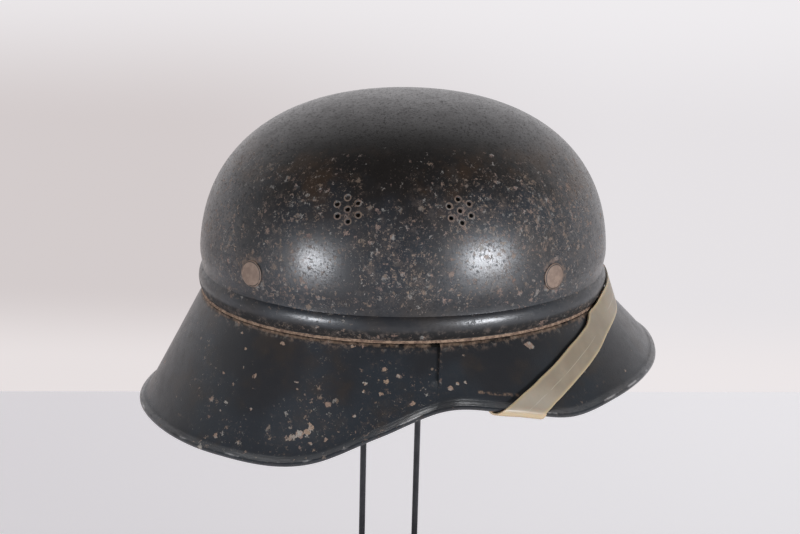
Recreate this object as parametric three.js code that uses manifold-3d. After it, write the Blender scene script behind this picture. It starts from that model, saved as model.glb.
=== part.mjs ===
// An air raid helmet of pressed steel on a plain two-rod display stand. Millimetres, +Z up.
// The origin is the middle of the stand's foot plate, on its underside.
// +X is the helmet's front and +Y its wearer's left.
import * as THREE from 'three';
import { mergeVertices } from 'three/addons/utils/BufferGeometryUtils.js';
import Module from 'manifold-3d';

const wasm = await Module();
wasm.setup();

const gap = 0.3; // between pieces that touch
const turnStep = 7.2; // degrees between the sections of a pressed piece

// Crown, measured outside. Levels are counted from the middle of the bead.
const crownLength = 257; // at its widest, a little above the bead
const crownWidth = 219;
const crownTop = 114.2;
const crownPower = 2.37; // 2 gives an elliptic dome, more gives fuller shoulders
const domeFoot = 9; // level where the dome's curve starts
const steel = 1; // thickness of every pressed sheet
const neckIn = 1.5; // how far the wall draws in at the top of the bead
const neckTall = 12; // how high above the bead that starts
const beadTall = 14;
const beadProud = 2.4; // beyond the neck
const lipTall = 1.6; // the crown's raw edge, below the bead
const lipOut = 0.9;

// Skirt: front visor and rear neck guard. Turn 0 is the front, 90 the side and 180 the back.
// reach is the share of skirtReach that the rim stands out, drop the share of skirtDrop that it hangs.
const skirtReach = 41;
const skirtDrop = 79;
const rimTable = [
  { turn: 0, reach: 0.94, drop: 0.602 },
  { turn: 15, reach: 0.915, drop: 0.621 },
  { turn: 30, reach: 0.86, drop: 0.625 },
  { turn: 45, reach: 0.783, drop: 0.655 },
  { turn: 58, reach: 0.72, drop: 0.684 },
  { turn: 75, reach: 0.65, drop: 0.56 },
  { turn: 90, reach: 0.61, drop: 0.502 },
  { turn: 105, reach: 0.64, drop: 0.697 },
  { turn: 120, reach: 0.68, drop: 0.935 },
  { turn: 145, reach: 0.8, drop: 1.013 },
  { turn: 165, reach: 0.94, drop: 1.003 },
  { turn: 180, reach: 1, drop: 0.997 },
];
const flangeTop = 4; // the skirt's upright flange ends this far above the bead's middle
const bandOut = 6; // the flat band round the rim
const bandFall = 5.5;
const bandBend = { out: 1.5, down: 2.2 }; // where the crease has turned into the band
const ledgeOut = 0.2; // the skirt's slope starts this far outside the neck, under the crown's lip
const rollRadius = 1.7; // the rolled edge
const lapTurn = 90; // where the visor ends over the neck guard
const lapDegrees = 6; // length of the neck guard's tongue under the visor
const joggleDegrees = 4;
const lapClear = 0.3; // degrees between the visor's end and the neck guard's full section

// Vents: a hole with six more round it, twice on each side.
const ventRadius = 1.3;
const ventRing = 6.9;
const ventLevel = 66;
const vents = [
  { name: 'front', turn: 84.2, twist: -3 },
  { name: 'rear', turn: 116.6, twist: -11 },
];

// Liner pins: flat heads outside, the shank through the wall and a washer inside.
const pinHeadRadius = 8;
const pinHeadTall = 1.3;
const pinShankRadius = 2.5;
const pinLevel = 22.6;
const pinWasherRadius = 6;
const pinTurns = [{ name: 'front', turn: 56.3 }, { name: 'rear', turn: 143.8 }];

// Chin strap: one flat band over the visor, round the rim and up inside to a post on each side.
const strapThick = 1.5;
const strapOff = 0.7; // clear of the steel
const strapLift = { neck: 0.4, bead: 0.4, lip: 0.3 }; // as much more where it bridges from edge to edge
const strapNeck = 9.5; // level of its highest way point on the crown
const postTurn = 102;
const postLevel = 25;
const postRadius = 2.5;
const postHeadRadius = 6;
const postHeadTall = 1.5;

// Stand
const rodRadius = 2;
const rodSpacing = 36;
const helmetForward = 6; // the crown's middle ahead of the rods' middle
const plateLength = 200;
const plateWidth = 116;
const plateTall = 6;
const plateCorner = 14;
const rimClear = 148; // from the rim's lowest point down to the foot plate
const rodSink = 4; // the rods' depth in the foot plate
const padShare = 21; // degrees of the dome that the pad covers
const padTall = 12;
const padSink = 7; // the rods' depth in the pad

const rad = THREE.MathUtils.degToRad;
const neckLong = crownLength / 2 - neckIn;
const neckWide = crownWidth / 2 - neckIn;
const beadHalf = beadTall / 2;
const lipLevel = -beadHalf - lipTall;
const skirtTop = lipLevel - steel / 2 - gap;
const chordDip = (crownLength / 2) * (1 - Math.cos(rad(turnStep / 2))); // of a facet below the true curve
const helmetLevel = plateTall + rimClear + skirtDrop;

// A smooth curve through the rows of a table, the same on both sides, by three-point tangents.
function follow(rows, key, turn) {
  const a = Math.abs(turn);
  const n = rows.length;
  const slope = rows.map((row, i) => {
    if (i === 0 || i === n - 1) return 0;
    const h0 = row.turn - rows[i - 1].turn;
    const h1 = rows[i + 1].turn - row.turn;
    const d0 = (row[key] - rows[i - 1][key]) / h0;
    const d1 = (rows[i + 1][key] - row[key]) / h1;
    return (d0 * h1 + d1 * h0) / (h0 + h1);
  });
  const k = Math.min(n - 2, Math.max(0, rows.findIndex((row) => row.turn > a) - 1));
  const i = a >= rows[n - 1].turn ? n - 2 : k;
  const h = rows[i + 1].turn - rows[i].turn;
  const s = (a - rows[i].turn) / h;
  return (2 * s ** 3 - 3 * s ** 2 + 1) * rows[i][key] + (s ** 3 - 2 * s ** 2 + s) * h * slope[i]
    + (-2 * s ** 3 + 3 * s ** 2) * rows[i + 1][key] + (s ** 3 - s ** 2) * h * slope[i + 1];
}

// A point beside the neck's ellipse, scaled by k, moved out along the ellipse's normal and set at a level.
function beside(turn, k, out, level) {
  const t = rad(turn);
  const normal = new THREE.Vector2(Math.cos(t) / neckLong, Math.sin(t) / neckWide).normalize();
  return new THREE.Vector3(
    neckLong * k * Math.cos(t) + out * normal.x,
    neckWide * k * Math.sin(t) + out * normal.y,
    level,
  );
}

// The open path [r, z] moved sideways by a distance, mitred at its corners. Positive is to the left.
function offsetPath(path, distance) {
  const side = (a, b) => new THREE.Vector2(a.z - b.z, b.r - a.r).normalize();
  return path.map((p, i) => {
    const before = side(path[Math.max(0, i - 1)], path[Math.max(1, i)]);
    const after = side(path[Math.min(path.length - 2, i)], path[Math.min(path.length - 1, i + 1)]);
    const middle = before.clone().add(after).normalize();
    const reach = distance / Math.max(0.6, middle.dot(before));
    return { r: p.r + middle.x * reach, z: p.z + middle.y * reach };
  });
}

// A closed body from sections, each a closed ring of the same number of points, capped at both ends.
function loft(sections) {
  const m = sections[0].length;
  const index = [];
  for (let i = 0; i < sections.length - 1; i++) {
    for (let j = 0; j < m; j++) {
      const [a, b] = [i * m + j, i * m + (j + 1) % m];
      index.push(a, b, b + m, a, b + m, a + m);
    }
  }
  for (const [a, b, c] of capTriangles(sections[0])) index.push(c, b, a);
  const last = (sections.length - 1) * m;
  for (const [a, b, c] of capTriangles(sections.at(-1))) index.push(last + a, last + b, last + c);
  return bodyOf(sections.flat(), index);
}

// Triangles that fill a ring of points, worked out in the ring's own plane.
function capTriangles(ring) {
  const centre = ring.reduce((sum, p) => sum.add(p), new THREE.Vector3()).divideScalar(ring.length);
  const normal = new THREE.Vector3();
  ring.forEach((p, i) => {
    const q = ring[(i + 1) % ring.length];
    normal.add(p.clone().sub(centre).cross(q.clone().sub(centre)));
  });
  normal.normalize();
  const across = ring[0].clone().sub(centre).projectOnPlane(normal).normalize();
  const up = normal.clone().cross(across);
  const flat = ring.map((p) => {
    const d = p.clone().sub(centre);
    return new THREE.Vector2(d.dot(across), d.dot(up));
  });
  return THREE.ShapeUtils.triangulateShape(flat, []);
}

function bodyOf(points, index) {
  const geometry = new THREE.BufferGeometry();
  geometry.setAttribute('position', new THREE.Float32BufferAttribute(points.flatMap((p) => [p.x, p.y, p.z]), 3));
  geometry.setIndex(index);
  return facingOut(geometry);
}

// The same body with its faces pointing out, told by the sign of its volume.
function facingOut(geometry) {
  const p = geometry.attributes.position;
  const index = geometry.index.array;
  const at = (i) => new THREE.Vector3().fromBufferAttribute(p, i);
  let volume = 0;
  for (let i = 0; i < index.length; i += 3) {
    volume += at(index[i]).dot(at(index[i + 1]).cross(at(index[i + 2])));
  }
  if (volume < 0) {
    for (let i = 0; i < index.length; i += 3) [index[i], index[i + 1]] = [index[i + 1], index[i]];
  }
  return geometry;
}

function solid(geometry) {
  const bare = new THREE.BufferGeometry();
  bare.setAttribute('position', geometry.attributes.position.clone());
  if (geometry.index) bare.setIndex(geometry.index.clone());
  const merged = mergeVertices(bare, 1e-4);
  return new wasm.Manifold(new wasm.Mesh({
    numProp: 3,
    vertProperties: new Float32Array(merged.attributes.position.array),
    triVerts: new Uint32Array(merged.index.array),
  }));
}

function meshOf(body) {
  const mesh = body.getMesh();
  const geometry = new THREE.BufferGeometry();
  geometry.setAttribute('position', new THREE.BufferAttribute(new Float32Array(mesh.vertProperties), 3));
  geometry.setIndex(new THREE.BufferAttribute(new Uint32Array(mesh.triVerts), 1));
  return geometry;
}

// A round bar of radius r from point a to point b.
function bar(a, b, r, sides) {
  const along = b.clone().sub(a);
  const geometry = new THREE.CylinderGeometry(r, r, along.length(), sides);
  geometry.applyQuaternion(new THREE.Quaternion().setFromUnitVectors(new THREE.Vector3(0, 1, 0), along.normalize()));
  geometry.translate(...a.clone().add(b).multiplyScalar(0.5).toArray());
  return geometry;
}

// Crown

// The dome's outside at an angle from its top, 90 at the foot: k is the share of the neck's ellipse.
function domeAt(fall) {
  const k = Math.sin(rad(fall)) ** (2 / crownPower);
  const z = domeFoot + (crownTop - domeFoot) * Math.max(0, Math.cos(rad(fall))) ** (2 / crownPower);
  return { k, z, out: neckOut(z) * k };
}

// How far the wall stands out of the neck at a level above the bead.
function neckOut(z) {
  const s = THREE.MathUtils.clamp((z - beadHalf) / neckTall, 0, 1);
  return neckIn * s * s * (3 - 2 * s);
}

const domeFalls = [0, 10, 21, 32, 43, 54, 64, 73, 81, 86, 89];
const beadShares = [1, 0.75, 0.3, -0.3, -0.75, -1];

function crownOutside() {
  const dome = domeFalls.map(domeAt);
  const bead = beadShares.map((u) => ({ k: 1, z: beadHalf * u, out: beadProud * (1 - u * u) ** 0.75 }));
  return [...dome, ...bead, { k: 1, z: lipLevel, out: lipOut }];
}

// The same rows moved inwards through the sheet.
function crownInside(depth) {
  const rows = crownOutside();
  const middle = (neckLong + neckWide) / 2;
  const path = rows.map((row) => ({ r: middle * row.k + row.out, z: row.z }));
  path[0].r = 0;
  const moved = offsetPath([{ r: -path[1].r, z: path[1].z }, ...path], -depth).slice(1);
  return rows.map((row, i) => ({ k: row.k, z: moved[i].z, out: row.out + moved[i].r - path[i].r }));
}

function crownShell() {
  const outside = crownOutside().slice(1);
  const inside = crownInside(steel);
  const profile = [...outside, ...inside.slice(1).reverse()];
  const points = [];
  const index = [];
  const steps = 360 / turnStep;
  for (let i = 0; i < steps; i++) {
    for (const row of profile) points.push(beside(i * turnStep, row.k, row.out, row.z));
  }
  const m = profile.length;
  const top = points.push(new THREE.Vector3(0, 0, crownTop)) - 1;
  const under = points.push(new THREE.Vector3(0, 0, inside[0].z)) - 1;
  for (let i = 0; i < steps; i++) {
    const a = i * m;
    const b = ((i + 1) % steps) * m;
    for (let j = 0; j < m - 1; j++) index.push(a + j, a + j + 1, b + j + 1, a + j, b + j + 1, b + j);
    index.push(top, a, b, under, b + m - 1, a + m - 1);
  }
  return bodyOf(points, index);
}

// Where the dome's outside lies at a turn and level, with its outward normal.
function onCrown(turn, level, side) {
  const point = (t, z) => {
    const share = THREE.MathUtils.clamp((z - domeFoot) / (crownTop - domeFoot), 0, 1);
    const k = (1 - share ** crownPower) ** (1 / crownPower);
    return beside(t, k, neckOut(z) * k, z);
  };
  const at = point(turn * side, level);
  const along = point(turn * side + 0.5, level).sub(point(turn * side - 0.5, level));
  const up = point(turn * side, level + 0.5).sub(point(turn * side, level - 0.5));
  const normal = along.cross(up).normalize();
  return { at, normal, up: up.projectOnPlane(normal).normalize() };
}

function ventHoles() {
  const holes = [];
  for (const side of [1, -1]) {
    for (const vent of vents) {
      const { at, normal, up } = onCrown(vent.turn, ventLevel, side);
      for (let i = 0; i < 7; i++) {
        const away = up.clone().applyAxisAngle(normal, rad(60 * i + vent.twist * side));
        const centre = at.clone().addScaledVector(away, i === 6 ? 0 : ventRing);
        holes.push(bar(centre.clone().addScaledVector(normal, -5), centre.clone().addScaledVector(normal, 5), ventRadius, 6));
      }
    }
  }
  return holes;
}

function crown() {
  let body = solid(crownShell());
  for (const hole of ventHoles()) body = body.subtract(solid(hole));
  for (const side of [1, -1]) {
    for (const pin of pinTurns) {
      const { at, normal } = onCrown(pin.turn, pinLevel, side);
      const hole = bar(at.clone().addScaledVector(normal, -6), at.clone().addScaledVector(normal, 6), pinShankRadius + gap, 12);
      body = body.subtract(solid(hole));
    }
  }
  return meshOf(body);
}

// Skirt

// The upright flange stands inside the narrowest places of the crown's foot.
const flangeSeat = Math.min(...crownInside(steel).slice(-beadShares.length - 1).map((row) => row.out)) - gap - chordDip;

function rimAt(turn) {
  return { reach: skirtReach * follow(rimTable, 'reach', turn), drop: skirtDrop * follow(rimTable, 'drop', turn) };
}

// The outside of the skirt at a turn, from the top of its flange to the start of the rolled edge.
function skirtOutside(turn) {
  const { reach, drop } = rimAt(turn);
  const crease = { r: reach - bandOut, z: -drop + bandFall };
  const shoulder = { r: ledgeOut, z: skirtTop };
  const slope = (s) => ({ r: shoulder.r + (crease.r - shoulder.r) * s, z: shoulder.z + (crease.z - shoulder.z) * s });
  return [
    { r: flangeSeat, z: flangeTop },
    { r: flangeSeat, z: skirtTop },
    shoulder,
    slope(0.5),
    slope(0.93),
    { r: crease.r + bandBend.out, z: crease.z - bandBend.down },
    { r: reach - rollRadius * 1.4, z: -drop + rollRadius * 1.5 },
  ];
}

// The rolled edge, a round bead along the rim, as points round its outer side.
function roll(turn) {
  const { reach, drop } = rimAt(turn);
  return [65, 25, -15, -55, -95, -140].map((a) => ({
    r: reach - rollRadius + rollRadius * Math.cos(rad(a)),
    z: -drop + rollRadius * Math.sin(rad(a)),
  }));
}

function skirtSection(turn, inset) {
  const outside = offsetPath(skirtOutside(turn), -inset);
  const inside = offsetPath(outside, -steel).reverse();
  const edge = roll(turn).map((p) => ({ r: p.r - inset * 0.6, z: p.z + inset * 0.6 }));
  return [...outside, ...edge, ...inside].map((p) => beside(turn, 1, p.r, p.z));
}

// The part of the section that runs on under the neighbour as a tongue: flange and slope only.
function tongueSection(turn, inset) {
  const outside = offsetPath(skirtOutside(turn), -inset).slice(0, 5);
  const inside = offsetPath(outside, -steel).reverse();
  return [...outside, ...inside].map((p) => beside(turn, 1, p.r, p.z));
}

function turnsBetween(from, to, step) {
  const count = Math.round((to - from) / step);
  return Array.from({ length: count + 1 }, (_, i) => from + ((to - from) * i) / count);
}

function visor() {
  const half = turnsBetween(0, lapTurn, turnStep);
  const turns = [...half.slice(1).reverse().map((turn) => -turn), ...half];
  return loft(turns.map((turn) => skirtSection(turn, 0)));
}

function neckGuard() {
  const lap = steel + 2 * gap + chordDip; // how far inwards the tongue lies
  const start = lapTurn + lapClear;
  const end = 360 - start;
  const straight = turnsBetween(start + joggleDegrees, end - joggleDegrees, turnStep);
  const joggle = [0, 0.35, 0.7];
  const turns = [
    ...joggle.map((s) => start + joggleDegrees * s),
    ...straight,
    ...joggle.map((s) => end - joggleDegrees * s).reverse(),
  ];
  const inset = (turn) => {
    const s = THREE.MathUtils.clamp((Math.min(turn - start, end - turn)) / joggleDegrees, 0, 1);
    return lap * (1 - s * s * (3 - 2 * s));
  };
  let body = solid(loft(turns.map((turn) => skirtSection(turn > 180 ? turn - 360 : turn, inset(turn)))));
  for (const side of [1, -1]) {
    const rows = turnsBetween(lapTurn - lapDegrees, start + 1, 2.5);
    body = body.add(solid(loft(rows.map((turn) => tongueSection(turn * side, lap)))));
  }
  return meshOf(body);
}

// Liner pins

function linerPin(turn, side) {
  const { at, normal } = onCrown(turn, pinLevel, side);
  const along = (d) => at.clone().addScaledVector(normal, d);
  const thick = solid(wallBetween(-gap, steel + gap));
  const head = solid(bar(along(-2), along(pinHeadTall), pinHeadRadius, 18)).subtract(thick);
  const washer = solid(bar(along(-steel - 3.4), along(-steel + 1), pinWasherRadius, 12)).subtract(thick);
  const cut = (body, sign) => keepSide(body, at, normal, sign);
  const shank = solid(bar(along(-steel - 2.4), along(0.6), pinShankRadius, 12));
  return meshOf(cut(head, 1).add(cut(washer, -1)).add(shank));
}

// The crown's sheet made thicker by the gap on both faces.
function wallBetween(outer, inner) {
  const outside = crownInside(outer).slice(1, -3);
  const inside = crownInside(inner).slice(1, -3);
  const profile = [...outside, ...inside.reverse()];
  const points = [];
  const index = [];
  const steps = 360 / turnStep;
  for (let i = 0; i < steps; i++) {
    for (const row of profile) points.push(beside(i * turnStep, row.k, row.out, row.z));
  }
  const m = profile.length;
  for (let i = 0; i < steps; i++) {
    const a = i * m;
    const b = ((i + 1) % steps) * m;
    for (let j = 0; j < m; j++) {
      const n = (j + 1) % m;
      index.push(a + j, a + n, b + n, a + j, b + n, b + j);
    }
  }
  return bodyOf(points, index);
}

// The pieces of a body on one side of the wall's middle.
function keepSide(body, at, normal, sign) {
  const middle = at.clone().addScaledVector(normal, -steel / 2);
  return body.trimByPlane(normal.clone().multiplyScalar(sign).toArray(), normal.dot(middle) * sign);
}

// Chin strap

// Where the crown's outside stands at a level of its wall, counted out from the neck's ellipse.
function wallAt(level) {
  const share = Math.max(0, (level - domeFoot) / (crownTop - domeFoot));
  const k = (1 - share ** crownPower) ** (1 / crownPower);
  return (k - 1) * neckWide + neckOut(level) * k;
}

// The way that the strap takes across the skirt at a turn, from the bead down over the rim and up inside.
// way -2 is the neck above the bead, -1 the bead, 0 the lip, 1 the rim's outside, 3 its inside, 4 inside the crease,
// 5 and 6 inside the flange, 7 the wall below the post and 8 above it.
function strapWay(turn) {
  const { reach, drop } = rimAt(turn);
  const off = strapOff + strapThick / 2;
  const slant = Math.atan2(drop + skirtTop - bandFall, reach - bandOut);
  const crease = 2 * steel + 2 * gap + chordDip + off;
  const flange = flangeSeat - 3 * steel - 5 * gap - chordDip - off;
  const round = rollRadius + off;
  const roll = (a) => ({ r: reach - rollRadius + round * Math.cos(rad(a)), z: -drop + round * Math.sin(rad(a)) });
  const wall = (level) => ({ r: wallAt(level) - steel - gap - chordDip - off, z: level });
  return [
    { r: off + strapLift.neck, z: strapNeck },
    { r: beadProud + off + strapLift.bead, z: 0 },
    { r: lipOut + off + strapLift.lip, z: lipLevel },
    roll(25),
    roll(-82.5),
    roll(-190),
    { r: reach - bandOut - crease * Math.sin(slant), z: -drop + bandFall + 1 - crease * Math.cos(slant) },
    { r: flange, z: skirtTop - 2 * steel },
    { r: flange, z: flangeTop + 1 },
    wall(postLevel - postHeadRadius * 1.4),
    wall(postLevel + postHeadRadius * 2.2),
  ];
}

function onStrapWay(turn, way) {
  const path = strapWay(turn);
  const x = THREE.MathUtils.clamp(way + 2, 0, path.length - 1);
  const i = Math.min(path.length - 2, Math.floor(x));
  const s = x - i;
  if (way > 1 && way < 3) {
    const { reach, drop } = rimAt(turn);
    const round = rollRadius + strapOff + strapThick / 2;
    const a = rad(25 - 107.5 * (way - 1));
    return beside(turn, 1, reach - rollRadius + round * Math.cos(a), -drop + round * Math.sin(a));
  }
  const out = path[i].r + (path[i + 1].r - path[i].r) * s;
  return beside(turn, 1, out, path[i].z + (path[i + 1].z - path[i].z) * s);
}

// The strap's two edges, on the wearer's left half; the right half mirrors it.
// rear is the edge nearer the bead, front the one nearer the visor's rim.
const strapTable = [
  { rearTurn: 0, rearWay: -1.25, frontTurn: 0, frontWay: 0.15 },
  { rearTurn: 8, rearWay: -1.22, frontTurn: 7.4, frontWay: 0.17 },
  { rearTurn: 15.5, rearWay: -1.12, frontTurn: 14, frontWay: 0.21 },
  { rearTurn: 23, rearWay: -0.99, frontTurn: 20.5, frontWay: 0.24 },
  { rearTurn: 29.5, rearWay: -0.74, frontTurn: 26.5, frontWay: 0.265 },
  { rearTurn: 35.2, rearWay: -0.2, frontTurn: 31.5, frontWay: 0.295 },
  { rearTurn: 40.5, rearWay: 0.065, frontTurn: 37, frontWay: 0.35 },
  { rearTurn: 47, rearWay: 0.18, frontTurn: 43.4, frontWay: 0.455 },
  { rearTurn: 53.4, rearWay: 0.272, frontTurn: 49, frontWay: 0.545 },
  { rearTurn: 59.5, rearWay: 0.4, frontTurn: 55, frontWay: 0.648 },
  { rearTurn: 65.5, rearWay: 0.553, frontTurn: 59.5, frontWay: 0.75 },
  { rearTurn: 71.5, rearWay: 0.762, frontTurn: 63.3, frontWay: 0.86 },
  { rearTurn: 77.2, rearWay: 1, frontTurn: 66.9, frontWay: 1 },
  { rearTurn: 78.7, rearWay: 1.5, frontTurn: 67.4, frontWay: 1.5 },
  { rearTurn: 79.6, rearWay: 2, frontTurn: 67.9, frontWay: 2 },
  { rearTurn: 80.3, rearWay: 2.5, frontTurn: 68.5, frontWay: 2.6 },
  { rearTurn: 80.9, rearWay: 3, frontTurn: 69.6, frontWay: 3.4 },
  { rearTurn: 81.4, rearWay: 3.4, frontTurn: 71, frontWay: 4 },
  { rearTurn: 82.6, rearWay: 4, frontTurn: 73.2, frontWay: 4.25 },
  { rearTurn: 85.3, rearWay: 4.24, frontTurn: 77, frontWay: 4.55 },
  { rearTurn: 89.1, rearWay: 4.66, frontTurn: 81.6, frontWay: 4.97 },
  { rearTurn: 93.2, rearWay: 5.12, frontTurn: 86, frontWay: 5.59 },
  { rearTurn: 97.3, rearWay: 5.76, frontTurn: 90.2, frontWay: 6.3 },
  { rearTurn: 101.5, rearWay: 6.52, frontTurn: 94.6, frontWay: 7.08 },
  { rearTurn: 105.4, rearWay: 7.17, frontTurn: 98.6, frontWay: 7.56 },
  { rearTurn: 107.5, rearWay: 7.42, frontTurn: 101, frontWay: 7.83 },
];
const strapFold = 10; // the row from which the strap bends round the rim

// The strap's middle surface at a row x of the table and a share q of its width, rear to front.
function strapPoint(x, q) {
  const i = Math.min(strapTable.length - 2, Math.floor(x));
  const s = x - i;
  const row = (k) => strapTable[Math.min(Math.abs(k), strapTable.length - 1)];
  const blend = (key) => {
    const [b, c, d] = [row(i), row(i + 1), row(i + 2)].map((r) => r[key]);
    const a = row(i - 1)[key] * (i === 0 && key.endsWith('Turn') ? -1 : 1); // the other half mirrors this one
    if (x > strapFold) return b + (c - b) * s;
    return 0.5 * (2 * b + (c - a) * s + (2 * a - 5 * b + 4 * c - d) * s * s + (3 * b - a - 3 * c + d) * s ** 3);
  };
  const [turnA, wayA, turnB, wayB] = ['rearTurn', 'rearWay', 'frontTurn', 'frontWay'].map(blend);
  const flat = onStrapWay(turnA, wayA).lerp(onStrapWay(turnB, wayB), q);
  const bent = onStrapWay(turnA + (turnB - turnA) * q, wayA + (wayB - wayA) * q);
  return flat.lerp(bent, THREE.MathUtils.clamp(x - strapFold, 0, 1));
}

function chinStrap() {
  const last = strapTable.length - 1;
  const rows = [];
  for (let x = 0; x < last; x += x < strapFold ? 0.5 : 1 / 3) rows.push(x);
  rows.push(last);
  const signed = [...rows.slice(1).reverse().map((x) => -x), ...rows];
  const across = 2;
  const surface = signed.map((x) => Array.from({ length: across + 1 }, (_, j) => {
    const p = strapPoint(Math.abs(x), j / across);
    return x < 0 ? new THREE.Vector3(p.x, -p.y, p.z) : p;
  }));
  const sections = surface.map((row, i) => {
    const before = surface[Math.max(0, i - 1)];
    const after = surface[Math.min(surface.length - 1, i + 1)];
    const faces = row.map((p, j) => {
      const along = after[j].clone().sub(before[j]);
      const side = row[Math.min(across, j + 1)].clone().sub(row[Math.max(0, j - 1)]);
      return side.cross(along).normalize().multiplyScalar(strapThick / 2);
    });
    const one = row.map((p, j) => p.clone().add(faces[j]));
    const other = row.map((p, j) => p.clone().sub(faces[j]));
    return [...one, ...other.reverse()];
  });
  let body = solid(loft(sections));
  for (const side of [1, -1]) {
    const { at, normal } = onCrown(postTurn, postLevel, side);
    const hole = bar(at.clone().addScaledVector(normal, -8), at.clone().addScaledVector(normal, 2), postRadius + gap, 12);
    body = body.subtract(solid(hole));
  }
  return meshOf(body);
}

// Stand

function rodPlaces() {
  return [{ name: 'front', x: rodSpacing / 2 }, { name: 'rear', x: -rodSpacing / 2 }];
}

function standPad() {
  const top = crownInside(steel + gap);
  const falls = domeFalls.filter((fall) => fall > 0 && fall <= padShare + 1);
  const rows = falls.map((fall) => top[domeFalls.indexOf(fall)]);
  const edge = rows.at(-1);
  const floor = edge.z - padTall;
  const profile = [...rows, { ...edge, z: floor }];
  const steps = 36;
  const points = [];
  const index = [];
  for (let i = 0; i < steps; i++) {
    for (const row of profile) points.push(beside((360 / steps) * i, row.k, row.out, row.z));
  }
  const m = profile.length;
  const peak = points.push(new THREE.Vector3(0, 0, top[0].z)) - 1;
  const base = points.push(new THREE.Vector3(0, 0, floor)) - 1;
  for (let i = 0; i < steps; i++) {
    const a = i * m;
    const b = ((i + 1) % steps) * m;
    for (let j = 0; j < m - 1; j++) index.push(a + j, a + j + 1, b + j + 1, a + j, b + j + 1, b + j);
    index.push(peak, a, b, base, b + m - 1, a + m - 1);
  }
  let body = solid(bodyOf(points, index));
  for (const { x } of rodPlaces()) {
    const low = new THREE.Vector3(x - helmetForward, 0, floor - 1);
    const high = new THREE.Vector3(x - helmetForward, 0, floor + padSink);
    body = body.subtract(solid(bar(low, high, rodRadius + gap, 16)));
  }
  return { geometry: meshOf(body), floor };
}

function standPlate() {
  const shape = new THREE.Shape();
  const [w, d, r] = [plateLength / 2, plateWidth / 2, plateCorner];
  shape.moveTo(-w + r, -d);
  shape.lineTo(w - r, -d);
  shape.absarc(w - r, -d + r, r, -Math.PI / 2, 0);
  shape.lineTo(w, d - r);
  shape.absarc(w - r, d - r, r, 0, Math.PI / 2);
  shape.lineTo(-w + r, d);
  shape.absarc(-w + r, d - r, r, Math.PI / 2, Math.PI);
  shape.lineTo(-w, -d + r);
  shape.absarc(-w + r, -d + r, r, Math.PI, Math.PI * 1.5);
  let body = solid(new THREE.ExtrudeGeometry(shape, { depth: plateTall, bevelEnabled: false, curveSegments: 6 }));
  for (const { x } of rodPlaces()) {
    const low = new THREE.Vector3(x, 0, plateTall - rodSink - gap);
    const high = new THREE.Vector3(x, 0, plateTall + 2);
    body = body.subtract(solid(bar(low, high, rodRadius + gap, 16)));
  }
  return meshOf(body);
}

function strapPost(side) {
  const { at, normal } = onCrown(postTurn, postLevel, side);
  const along = (d) => at.clone().addScaledVector(normal, -d);
  const foot = steel + gap + 2 * chordDip;
  const strapSide = foot + 2 * strapOff + strapThick + 2 * chordDip;
  const shank = solid(bar(along(foot), along(strapSide + postHeadTall), postRadius, 12));
  return meshOf(shank.add(solid(bar(along(strapSide), along(strapSide + postHeadTall), postHeadRadius, 16))));
}

// Assembly

const paint = () => new THREE.MeshStandardMaterial({ color: 0x1c2026, roughness: 0.3, metalness: 0.2 });
const worn = () => new THREE.MeshStandardMaterial({ color: 0x6e4f3e, roughness: 0.6, metalness: 0.3 });
const black = () => new THREE.MeshStandardMaterial({ color: 0x4a4c50, roughness: 0.5, metalness: 0.6 });
const leather = () => new THREE.MeshStandardMaterial({ color: 0x8f8468, roughness: 0.45, metalness: 0 });
const dull = () => new THREE.MeshStandardMaterial({ color: 0x2b2b2d, roughness: 0.8, metalness: 0 });

const helmet = new THREE.Group();
helmet.position.set(helmetForward, 0, helmetLevel);
const part = new THREE.Group();
part.add(helmet);

function place(parent, name, geometry, material) {
  const mesh = new THREE.Mesh(geometry, material);
  mesh.name = name;
  parent.add(mesh);
}

place(helmet, 'crown', crown(), paint());
place(helmet, 'visor', visor(), paint());
place(helmet, 'neck_guard', neckGuard(), paint());
for (const [side, word] of [[1, 'left'], [-1, 'right']]) {
  for (const pin of pinTurns) place(helmet, `liner_pin_${pin.name}_${word}`, linerPin(pin.turn, side), worn());
  place(helmet, `strap_post_${word}`, strapPost(side), black());
}
place(helmet, 'chin_strap', chinStrap(), leather());
const pad = standPad();
place(helmet, 'stand_pad', pad.geometry, dull());
const rodFoot = plateTall - rodSink;
const rodTop = helmetLevel + pad.floor + padSink - gap;
for (const { name, x } of rodPlaces()) {
  const rod = bar(new THREE.Vector3(x, 0, rodFoot), new THREE.Vector3(x, 0, rodTop), rodRadius, 16);
  place(part, `stand_rod_${name}`, rod, black());
}
place(part, 'stand_plate', standPlate(), dull());

export default part;
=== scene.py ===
import math

import bpy
from mathutils import Matrix, Vector
from mathutils.bvhtree import BVHTree


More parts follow.
